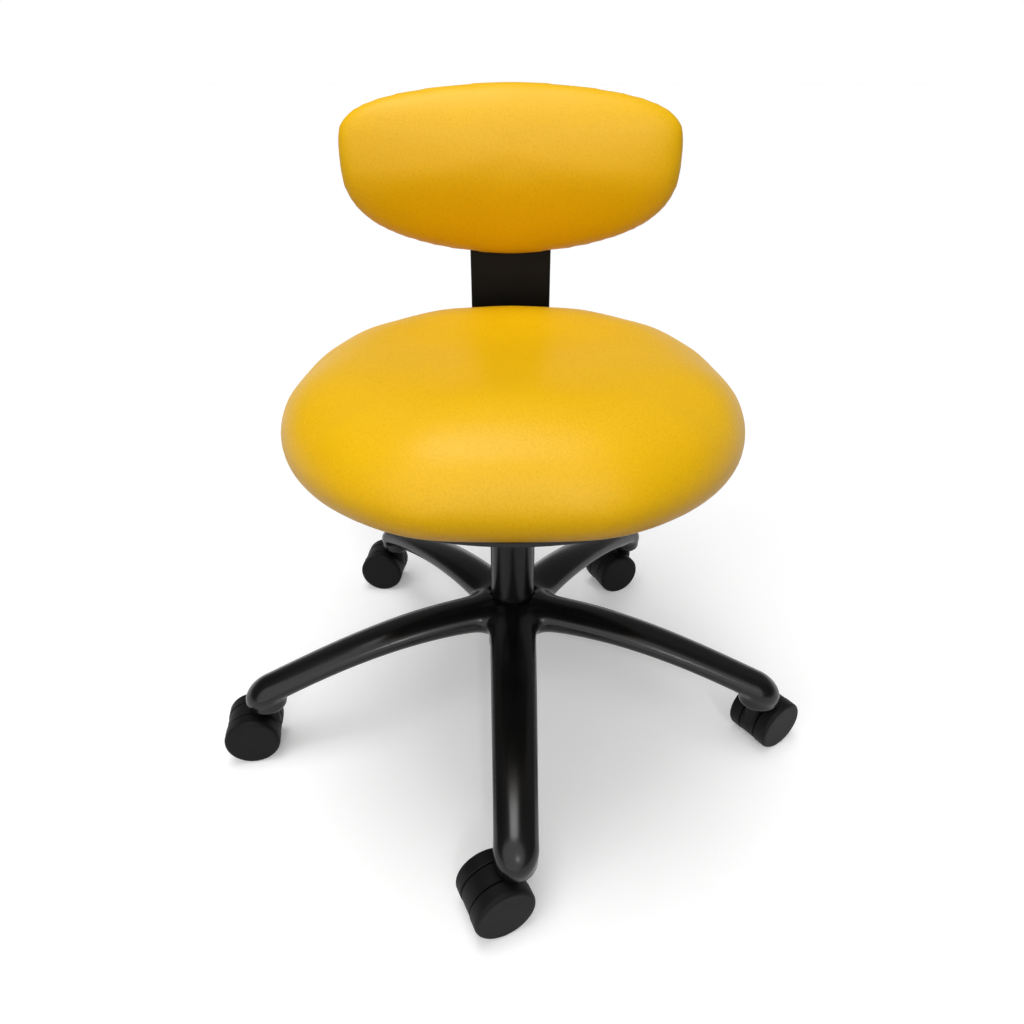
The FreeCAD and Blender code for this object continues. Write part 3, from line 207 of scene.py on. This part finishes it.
def birch_ply():
    """Birch plywood, sawn at its edge."""
    # The plies, about 1.4 mm thick, show as pale and brown bands along the sawn edge
    material, tree = new_material("sawn_birch_plywood")
    on_piece = {"Vector": add(tree, "ShaderNodeTexCoord").outputs["Object"]}
    ply = 1.4 * MM
    plies = add(tree, "ShaderNodeTexWave", {"Scale": 1 / (2 * ply * math.pi), "Distortion": 0.6, "Detail": 2.0},
                on_piece, bands_direction="Z")
    fibre = add(tree, "ShaderNodeTexNoise", {"Scale": 1 / (2 * MM), "Detail": 4.0}, on_piece)
    tone = add(tree, "ShaderNodeValToRGB", links={"Fac": plies.outputs["Fac"]})
    tone.color_ramp.elements[0].color = linear("#A9825A")
    tone.color_ramp.elements[1].color = linear("#DCC29A")
    surface = add(tree, "ShaderNodeBump", {"Strength": 0.3, "Distance": 0.0003}, {"Height": fibre.outputs["Fac"]})
    shader = add(tree, "ShaderNodeBsdfPrincipled", {"Roughness": 0.7, "IOR": 1.5},
                 {"Base Color": tone.outputs["Color"], "Normal": surface.outputs[0]})
    close_material(tree, shader)
    return material


def seen_ray(tree):
    """One for a ray that the eye sees, directly, mirrored or through glass, else nought."""
    path = add(tree, "ShaderNodeLightPath")
    either = add(tree, "ShaderNodeMath", links={0: path.outputs["Is Camera Ray"], 1: path.outputs["Is Glossy Ray"]},
                 operation="MAXIMUM")
    return add(tree, "ShaderNodeMath", links={0: either.outputs[0], 1: path.outputs["Is Transmission Ray"]},
               operation="MAXIMUM").outputs[0]


def studio_floor():
    """Matt white paper roll."""
    # Paper scatters evenly, so it shows only the chair's soft shadow
    material, tree = new_material("matt_white_paper")
    on_piece = {"Vector": add(tree, "ShaderNodeTexCoord").outputs["Object"]}
    pulp = add(tree, "ShaderNodeTexNoise", {"Scale": 1 / (4 * MM), "Detail": 2.0}, on_piece)
    surface = add(tree, "ShaderNodeBump", {"Strength": 0.1, "Distance": 0.0001}, {"Height": pulp.outputs["Fac"]})
    # The eye sees white paper, with a little glow so that its far part isn't grey. The light that it throws back onto
    # the chair is dim and warm, so the cushions' undersides stay dark
    glow_strength = 0.21
    seen = seen_ray(tree)
    tone = add(tree, "ShaderNodeMix", {"A": linear("#6E5642"), "B": linear("#F4F4F4")}, {"Factor": seen},
               data_type="RGBA")
    paper = add(tree, "ShaderNodeBsdfDiffuse", links={"Color": tone.outputs["Result"], "Normal": surface.outputs[0]})
    lift = add(tree, "ShaderNodeMath", {1: glow_strength}, {0: seen}, operation="MULTIPLY")
    glow = add(tree, "ShaderNodeEmission", {"Color": (1, 1, 1, 1)}, {"Strength": lift.outputs[0]})
    shader = add(tree, "ShaderNodeAddShader", links={0: paper.outputs[0], 1: glow.outputs[0]})
    close_material(tree, shader)
    return material


def piece(name, points, faces):
    """A smooth-shaded mesh object in the scene."""
    mesh = bpy.data.meshes.new(name)
    mesh.from_pydata([tuple(p) for p in points], [], faces)
    mesh.validate()
    mesh.polygons.foreach_set("use_smooth", [True] * len(mesh.polygons))
    made = bpy.data.objects.new(name, mesh)
    bpy.context.scene.collection.objects.link(made)
    return made


def coordinates(obj):
    """The object's vertex positions as an array."""
    flat = np.empty(len(obj.data.vertices) * 3)
    obj.data.vertices.foreach_get("co", flat)
    return flat.reshape(-1, 3)


def set_coordinates(obj, points):
    """Moves the object's vertices."""
    obj.data.vertices.foreach_set("co", np.asarray(points, float).ravel())
    obj.data.update()


def bake(obj):
    """Applies the object's modifiers to its mesh."""
    ready = obj.evaluated_get(bpy.context.evaluated_depsgraph_get())
    baked = bpy.data.meshes.new_from_object(ready)
    obj.modifiers.clear()
    old = obj.data
    obj.data = baked
    baked.name = obj.name
    bpy.data.meshes.remove(old)
    baked.polygons.foreach_set("use_smooth", [True] * len(baked.polygons))
    return obj


def edge_links(obj):
    """Pairs of vertices that share an edge."""
    flat = np.empty(len(obj.data.edges) * 2, np.int64)
    obj.data.edges.foreach_get("vertices", flat)
    return flat.reshape(-1, 2)


def averaged(values, links):
    """The mean of each vertex's neighbours."""
    count = np.bincount(links.ravel(), minlength=len(values))
    total = np.stack([np.bincount(links[:, 0], column[links[:, 1]], len(values))
                      + np.bincount(links[:, 1], column[links[:, 0]], len(values)) for column in values.T], axis=1)
    return total / np.maximum(count, 1)[:, None]


def rings_to_faces(rings, around, start=0):
    """Quads between rings of points that follow each other."""
    faces = []
    for ring in range(rings - 1):
        for i in range(around):
            j = (i + 1) % around
            low, high = start + ring * around, start + (ring + 1) * around
            faces.append((low + i, low + j, high + j, high + i))
    return faces


def subdivided(obj, levels):
    """Rounds a cage by subdivision."""
    rounding = obj.modifiers.new("rounding", "SUBSURF")
    rounding.levels = rounding.render_levels = levels
    return bake(obj)


def stuffed(obj, voxel, most, held):
    """Lets the cover swell over its foam, as cloth under pressure that is held where it is stapled.

    Its points move by less than most.
    """
    remesh = obj.modifiers.new("even", "REMESH")
    remesh.mode, remesh.voxel_size = "VOXEL", voxel
    bake(obj)
    relax = obj.modifiers.new("relax", "SMOOTH")
    relax.factor, relax.iterations = 0.5, 4
    bake(obj)
    start = coordinates(obj)
    stapled = obj.vertex_groups.new(name="stapled")
    stapled.add([int(i) for i in np.flatnonzero(held(start))], 1.0, "REPLACE")
    cover = obj.modifiers.new("cover", "CLOTH")
    cover.settings.quality = 4
    cover.settings.mass = 0.4
    cover.settings.tension_stiffness = cover.settings.compression_stiffness = 25
    cover.settings.bending_stiffness = 2
    cover.settings.use_pressure = True
    cover.settings.uniform_pressure_force = 4
    cover.settings.vertex_group_mass = stapled.name
    cover.settings.effector_weights.gravity = 0
    cover.point_cache.frame_end = CLOTH_FRAMES
    for frame_number in range(1, CLOTH_FRAMES + 1):
        bpy.context.scene.frame_set(frame_number)
    bake(obj)
    bpy.context.scene.frame_set(1)
    obj.vertex_groups.clear()
    move = coordinates(obj) - start
    length = np.maximum(np.linalg.norm(move, axis=1, keepdims=True), 1e-9)
    move = move / length * most * np.tanh(length / most)
    links = edge_links(obj)
    for _ in range(STRETCH_ROUNDS):
        move = averaged(move, links)
    set_coordinates(obj, start + move)
    return subdivided(obj, 1)


def signed_power(value, power):
    """A power that keeps the value's sign."""
    return math.copysign(abs(value) ** power, value)


def seat_relief(x, y):
    """Height added to the seat's top by its dish and its raised front."""
    return sum(height * math.exp(-(x / half_width) ** 2 - ((y - place) / half_length) ** 2)
               for height, half_width, place, half_length in (SEAT_DISH, SEAT_POMMEL))


def seat_ring(side, front, back, shrink=1.0):
    """Plan points of the seat's outline, drawn in at its side, front and back."""
    ring = []
    for i in range(OUTLINE_POINTS):
        turn = 2 * math.pi * i / OUTLINE_POINTS
        ahead = math.cos(turn) < 0
        power = 2 / (SEAT_FRONT_ROUND if ahead else SEAT_BACK_ROUND)
        depth = SEAT_FRONT - front - SEAT_WIDEST if ahead else SEAT_BACK - back + SEAT_WIDEST
        along = depth * signed_power(math.cos(turn), power)
        if ahead:
            past = -along - (SEAT_STRAIGHT - front - SEAT_WIDEST)
            along += STRAIGHT_EASE * math.log1p(math.exp(past / STRAIGHT_EASE))
        ring.append(((SEAT_HALF - side) * signed_power(math.sin(turn), power) * shrink,
                     -SEAT_WIDEST + along * shrink))
    return ring


def make_seat_cushion(cover):
    """The crowned seat cushion with its waterfall front."""
    points, rings = [], []
    for share, side, front, back in SEAT_LEVELS:
        rings.append((share, seat_ring(side, front, back)))
    share, side, front, back = SEAT_LEVELS[-1]
    for shrink in SEAT_INNER:
        rings.append((share + (1 - share) * (1 - shrink ** 2), seat_ring(side, front, back, shrink)))
    around = OUTLINE_POINTS
    for share, ring in rings:
        for x, y in ring:
            height = SEAT_LOW + share * (SEAT_HIGH - SEAT_LOW) + seat_relief(x, y) * max(0, share - 0.5) * 2
            points.append((x * MM, y * MM, height * MM))
    faces = rings_to_faces(len(rings), around)
    faces.append(tuple(reversed(range(around))))
    faces.append(tuple(range((len(rings) - 1) * around, len(rings) * around)))
    seat = subdivided(piece("seat_cushion_cover", points, faces), 2)
    floor = SEAT_LOW * MM
    stuffed(seat, COVER_CELL * MM, SEAT_SWELL * MM, lambda p: p[:, 2] < floor + 0.002)
    points = coordinates(seat)
    points[:, 2] = np.maximum(points[:, 2], floor)
    set_coordinates(seat, points)
    seat.data.materials.append(cover)
    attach(seat, "seat")
    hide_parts("seat_cushion")


def rear_face(points):
    """Where the backrest cushion's wrapped rear face lies at these points, in metres."""
    return BACK_FACE * MM - points[:, 0] ** 2 / (2 * BACK_WRAP * MM)


def make_back_cushion(cover):
    """The backrest cushion: a rounded trapezoid with a level lumbar crest, wrapped round the sitter."""
    around = OUTLINE_POINTS
    points = []
    for share, depth in BACK_LEVELS:
        for i in range(around):
            turn = 2 * math.pi * i / around
            x = BACK_HALF * signed_power(math.sin(turn), 2 / BACK_SIDE_ROUND) * share
            up = signed_power(math.cos(turn), 2 / (BACK_TOP_ROUND if math.cos(turn) > 0 else BACK_LOW_ROUND)) * share
            z = BACK_MIDDLE + (BACK_RISE if up > 0 else BACK_DROP) * up
            away = math.hypot(z - BACK_CREST, CREST_ROUND) - CREST_ROUND
            thick = CREST_DEPTH - CREST_FALL * away - SIDE_FALL * (x / BACK_HALF) ** 2
            y = BACK_FACE - x * x / (2 * BACK_WRAP) - depth * thick
            points.append((x * MM, y * MM, z * MM))
    faces = rings_to_faces(len(BACK_LEVELS), around)
    faces.append(tuple(reversed(range(around))))
    faces.append(tuple(range((len(BACK_LEVELS) - 1) * around, len(BACK_LEVELS) * around)))
    back = subdivided(piece("backrest_cushion_cover", points, faces), 2)
    stuffed(back, COVER_CELL * MM, BACK_SWELL * MM, lambda p: p[:, 1] > rear_face(p) - 0.003)
    points = coordinates(back)
    points[:, 1] = np.minimum(points[:, 1], rear_face(points))
    set_coordinates(back, points)
    back.data.materials.append(cover)
    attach(back, "backrest")
    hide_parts("backrest_cushion")


def blended(a, b, reach):
    """Joins two distance fields with a fillet that reaches so far."""
    share = np.clip(0.5 + 0.5 * (b - a) / reach, 0, 1)
    return b + (a - b) * share - reach * share * (1 - share)


def rounded(wall, end, edge):
    """Joins the distances to a wall and to its end at an edge of this radius."""
    wall, end = wall + edge, end + edge
    return np.minimum(np.maximum(wall, end), 0) + np.hypot(np.maximum(wall, 0), np.maximum(end, 0)) - edge


def drum(points, radius, low, high, edge):
    """Distance to an upright drum on the column's axis, with rounded edges."""
    wall = np.hypot(points[:, 0], points[:, 1]) - radius
    return rounded(wall, np.abs(points[:, 2] - (low + high) / 2) - (high - low) / 2, edge)


def oval_distance(x, y, z, half_x, half_y, half_z):
    """Rough distance to an ellipsoid with these half axes."""
    rim = np.sqrt((x / half_x) ** 2 + (y / half_y) ** 2 + (z / half_z) ** 2) + 1e-9
    return np.sqrt(x ** 2 + y ** 2 + z ** 2) * (1 - 1 / rim)


def arm_way(index):
    """Direction of an arm on the floor plan."""
    turn = math.radians(-90 + 360 / ARM_COUNT * index)
    return math.cos(turn), math.sin(turn)


def arm_form():
    """Half width, half depth and middle height of an arm as smooth curves along its reach."""
    fit = np.polynomial.Polynomial.fit
    reach = np.array(ARM_REACH, float)
    width, depth, top = (np.array(row, float) for row in (ARM_WIDTH, ARM_DEPTH, ARM_TOP))
    return fit(reach, width / 2, 3), fit(reach, depth / 2, 4), fit(reach, top - depth / 2, 4)


def star_distance(points):
    """Distance in millimetres to the cast star: arms, bosses and hub run into each other, less the column bore."""
    half_width, half_depth, middle = arm_form()
    droop = middle.deriv()(STEM_CIRCLE)
    hub = drum(points, HUB_RADIUS, HUB_LOW, HUB_HIGH, HUB_EDGE)
    metal = np.exp(-hub / CAST_FILLET)
    for index in range(ARM_COUNT):
        way_x, way_y = arm_way(index)
        along = points[:, 0] * way_x + points[:, 1] * way_y
        across = points[:, 1] * way_x - points[:, 0] * way_y
        on = np.clip(along, 0, STEM_CIRCLE)
        a, b = half_width(on), half_depth(on)
        past = along - on
        up = points[:, 2] - middle(on) - droop * np.maximum(past, 0)
        arm = oval_distance(past, across, up, a + ARM_TIP, a, b)
        # The boss lies inside the arm's round end above and has a straight wall below
        stem = along - STEM_CIRCLE
        over = points[:, 2] - middle(STEM_CIRCLE) + BOSS_SINK - droop * stem
        length = np.where(stem > 0, BOSS_RADIUS + ARM_TIP, BOSS_RADIUS)
        wall = oval_distance(stem, across, np.maximum(over, 0), length, BOSS_RADIUS, half_depth(STEM_CIRCLE))
        boss = rounded(wall, BOSS_LOW - points[:, 2], BOSS_EDGE)
        metal += np.exp(-blended(arm, boss, BOSS_FILLET) / CAST_FILLET)
    star = -CAST_FILLET * np.log(metal)
    star = blended(star, drum(points, FOOT_RADIUS, FOOT_LOW, HUB_LOW + HUB_EDGE, FOOT_EDGE), FOOT_FILLET)
    bore = BORE_RADIUS - np.hypot(points[:, 0], points[:, 1])
    return -blended(-star, -bore, BORE_FILLET)


def settled(points, links, distance, easings):
    """Moves points onto the zero line of a distance field, evening them out on the way."""
    step = 0.2
    for easing in easings:
        points = points + easing * (averaged(points, links) - points)
        for _ in range(3):
            off = distance(points)
            slope = np.stack([(distance(points + np.eye(3)[axis] * step) - distance(points - np.eye(3)[axis] * step))
                              / (2 * step) for axis in range(3)], axis=1)
            points = points - slope * (off / np.maximum((slope ** 2).sum(axis=1), 0.2))[:, None]
    return points


def make_base(coat):
    """The cast five-arm star: rough rods and a ring grown together, then drawn onto the smooth casting."""
    half_width, half_depth, middle = arm_form()
    around = 20
    points, faces = [], []
    for index in range(ARM_COUNT):
        way_x, way_y = arm_way(index)
        start = len(points)
        # A rough rod starts in the hub and ends a little inside the arm's round end
        reaches = np.linspace(BORE_RADIUS + 3, STEM_CIRCLE + BOSS_RADIUS - 2, 24)
        for reach in reaches:
            on = min(reach, STEM_CIRCLE)
            for i in range(around):
                turn = 2 * math.pi * i / around
                across = half_width(on) * math.cos(turn) * 0.95
                up = middle(on) + half_depth(on) * math.sin(turn)
                points.append((reach * way_x - across * way_y, reach * way_y + across * way_x, up))
        faces += rings_to_faces(len(reaches), around, start)
        faces.append(tuple(range(start, start + around)))
        faces.append(tuple(reversed(range(len(points) - around, len(points)))))
        start = len(points)
        for z in (BOSS_LOW, middle(STEM_CIRCLE)):
            for i in range(around):
                turn = 2 * math.pi * i / around
                points.append((STEM_CIRCLE * way_x + BOSS_RADIUS * math.cos(turn),
                               STEM_CIRCLE * way_y + BOSS_RADIUS * math.sin(turn), z))
        faces += rings_to_faces(2, around, start)
        faces.append(tuple(reversed(range(start, start + around))))
        faces.append(tuple(range(start + around, start + 2 * around)))
    start, around = len(points), 48
    for radius, z in ((FOOT_RADIUS, FOOT_LOW), (FOOT_RADIUS, HUB_LOW), (HUB_RADIUS, HUB_LOW), (HUB_RADIUS, HUB_HIGH),
                      (BORE_RADIUS, HUB_HIGH), (BORE_RADIUS, FOOT_LOW), (FOOT_RADIUS, FOOT_LOW)):
        for i in range(around):
            turn = 2 * math.pi * i / around
            points.append((radius * math.cos(turn), radius * math.sin(turn), z))
    faces += rings_to_faces(7, around, start)
    base = piece("five_arm_casting", np.array(points) * MM, faces)
    tidy = bmesh.new()
    tidy.from_mesh(base.data)
    bmesh.ops.remove_doubles(tidy, verts=tidy.verts, dist=1e-6)
    bmesh.ops.recalc_face_normals(tidy, faces=tidy.faces)
    tidy.to_mesh(base.data)
    tidy.free()
    grown = base.modifiers.new("grown", "REMESH")
    grown.mode, grown.voxel_size = "VOXEL", STAR_CELL * MM
    bake(base)
    # The shares by which points even out fall from round to round, so that the last rounds keep the form
    rough = coordinates(base) / MM
    set_coordinates(base, settled(rough, edge_links(base), star_distance, (0.5, 0.5, 0.5, 0.4, 0.3)) * MM)
    subdivided(base, 1)
    fine = coordinates(base) / MM
    set_coordinates(base, settled(fine, edge_links(base), star_distance, (0.4, 0.0)) * MM)
    base.data.materials.append(coat)
    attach(base, "base")
    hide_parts("five_star_base")


def dress(shown, finish):
    """Gives a CAD node its finish."""
    shown.data.materials.clear()
    shown.data.materials.append(finish)


def soft_light(name, aim_from, strength, angle):
    """A broad, even light from a far soft source."""
    lamp = bpy.data.lights.new(name, "SUN")
    lamp.energy = strength
    lamp.angle = math.radians(angle)
    made = bpy.data.objects.new(name, lamp)
    made.rotation_euler = Vector(aim_from).to_track_quat("Z", "Y").to_euler()
    bpy.context.scene.collection.objects.link(made)


def ceiling_panel(name, place, power, width):
    """A square panel that shines straight down."""
    lamp = bpy.data.lights.new(name, "AREA")
    lamp.energy = power
    lamp.size = width
    made = bpy.data.objects.new(name, lamp)
    made.location = place
    bpy.context.scene.collection.objects.link(made)


def light_room():
    """Plain soft studio light, mostly from above and from the camera's side."""
    ceiling_panel("ceiling_panel", (-0.17, -0.06, 1.5), 1.9, 0.45)
    soft_light("ceiling_softbox", (-0.1, 0.06, 1.0), 0.88, 28)
    soft_light("ceiling_bounce", (0.1, -0.3, 1.0), 0.13, 110)
    soft_light("front_fill", (-0.22, -0.85, 0.7), 1.98, 85)
    soft_light("front_spark", (0.1, -0.78, 0.62), 0.28, 3)
    soft_light("rear_fill", (0.3, 0.9, 0.3), 0.25, 110)
    world = bpy.data.worlds.new("white_room")
    world.use_nodes = True
    tree = world.node_tree
    tree.nodes.clear()
    # The eye sees white all round. Mirrors see white walls that end a little above the floor's far edge, and a dim
    # ceiling above them, so that black paint stays black
    dim, wall_end, dim_start = 0.1, 0.065, 0.13
    way = add(tree, "ShaderNodeTexCoord")
    height = add(tree, "ShaderNodeSeparateXYZ", links={0: way.outputs["Generated"]})
    wall = add(tree, "ShaderNodeMapRange",
               {"From Min": wall_end, "From Max": dim_start, "To Min": 1.0, "To Max": dim},
               {"Value": height.outputs["Z"]})
    path = add(tree, "ShaderNodeLightPath")
    bright = add(tree, "ShaderNodeMath", links={0: wall.outputs[0], 1: path.outputs["Is Camera Ray"]},
                 operation="MAXIMUM")
    room = add(tree, "ShaderNodeBackground", {"Color": (1, 1, 1, 1)}, {"Strength": bright.outputs[0]})
    plain = add(tree, "ShaderNodeBackground", {"Color": (1, 1, 1, 1), "Strength": dim})
    shown = add(tree, "ShaderNodeMixShader", links={0: seen_ray(tree), 1: plain.outputs[0], 2: room.outputs[0]})
    add(tree, "ShaderNodeOutputWorld", links={"Surface": shown.outputs[0]})
    bpy.context.scene.world = world


def make_floor():
    """A wide sheet of paper under the chair."""
    reach = 40.0
    floor = piece("paper_floor", [(-reach, -reach, 0), (reach, -reach, 0), (reach, reach, 0), (-reach, reach, 0)],
                  [(0, 1, 2, 3)])
    floor.data.materials.append(studio_floor())


def set_camera():
    """The photograph's viewpoint: from the front, looking down on the seat."""
    lens = bpy.data.cameras.new("front_view")
    lens.sensor_width = 36
    lens.lens = 26.62
    lens.clip_end = 200
    camera = bpy.data.objects.new("front_view", lens)
    camera.location = (-0.0082, -0.7215, 0.6820)
    looking_down, turned = math.radians(30.37), math.radians(-0.6)
    camera.rotation_euler = (math.pi / 2 - looking_down, 0, turned)
    bpy.context.scene.collection.objects.link(camera)
    bpy.context.scene.camera = camera


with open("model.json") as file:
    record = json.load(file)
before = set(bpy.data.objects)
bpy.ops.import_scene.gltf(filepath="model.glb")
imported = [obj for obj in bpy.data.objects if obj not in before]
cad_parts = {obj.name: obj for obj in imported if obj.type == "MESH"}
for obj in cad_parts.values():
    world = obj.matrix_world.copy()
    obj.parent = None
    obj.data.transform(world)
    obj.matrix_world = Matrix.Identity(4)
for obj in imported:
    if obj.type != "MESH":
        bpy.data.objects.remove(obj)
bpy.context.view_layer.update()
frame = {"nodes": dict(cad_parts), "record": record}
bpy.context.scene.view_settings.view_transform = "Standard"
nodes = frame["nodes"]

leather = leatherette()
# Powder paint flows out smooth over the casting, so it shows clear bands of light with a faint orange peel
casting_coat = black_coat("powder_coated_cast_aluminium", ("#0B0B0B", "#0F0F0F"), (0.21, 0.27),
                          grain=2.5, height=0.01, shine=0.38)
# Sprayed lacquer on a drawn tube is smoother than powder paint, so the bands of light along it have clean edges
tube_lacquer = black_coat("lacquered_steel_tube", ("#080808", "#0B0B0B"), (0.22, 0.28),
                          grain=1.5, height=0.01, shine=0.25)
# The mould is spark eroded, so the nylon comes out dull with a fine even grain
caster_nylon = black_coat("spark_eroded_moulded_nylon", ("#0C0C0C", "#101010"), (0.5, 0.6),
                          grain=0.7, height=0.06, shine=0.15)
# Grips and bushes come from a finely etched mould, which leaves them a shade paler, with a soft gloss
grip_nylon = black_coat("moulded_grip_nylon", ("#161616", "#1B1B1B"), (0.45, 0.55),
                        grain=0.9, height=0.06)
# The shell's etched mould gives a slightly coarser grain with an even, low gloss
shell_plastic = black_coat("moulded_polypropylene", ("#131313", "#181818"), (0.45, 0.55),
                           grain=1.2, height=0.08)
# Thin powder paint on pressed sheet shows a fine texture and a satin gloss
pressed_paint = black_coat("powder_coated_pressed_steel", ("#0E0E0E", "#131313"), (0.36, 0.46),
                           grain=1.2, height=0.05)
# The upright has the same paint in a deeper black, which is painted shade, and duller, so that it hardly shows the
# light
bar_paint = black_coat("shaded_powder_coated_steel_bar", ("#050505", "#080808"), (0.4, 0.5),
                       grain=1.2, height=0.05, shine=0.15)
# Rubber from a plain mould is dull all over
rubber = black_coat("moulded_nitrile_rubber", ("#141414", "#1A1A1A"), (0.7, 0.8),
                    grain=1, height=0.08)
steel = zinc_steel()
plywood = birch_ply()

FINISHES = {
    "base_casting": casting_coat, "column_paint": tube_lacquer, "caster_nylon": caster_nylon, "plain_steel": steel,
    "bush_nylon": grip_nylon, "buffer_rubber": rubber, "mechanism_paint": pressed_paint, "bar_paint": bar_paint,
    "grip_plastic": grip_nylon, "shell_plastic": shell_plastic, "leatherette": leather, "plywood": plywood,
}
for entry in frame["record"]["subparts"]:
    dress(nodes[entry["node"]], FINISHES[entry["material_slot"]])

make_base(casting_coat)
make_seat_cushion(leather)
make_back_cushion(leather)
make_floor()
light_room()
set_camera()
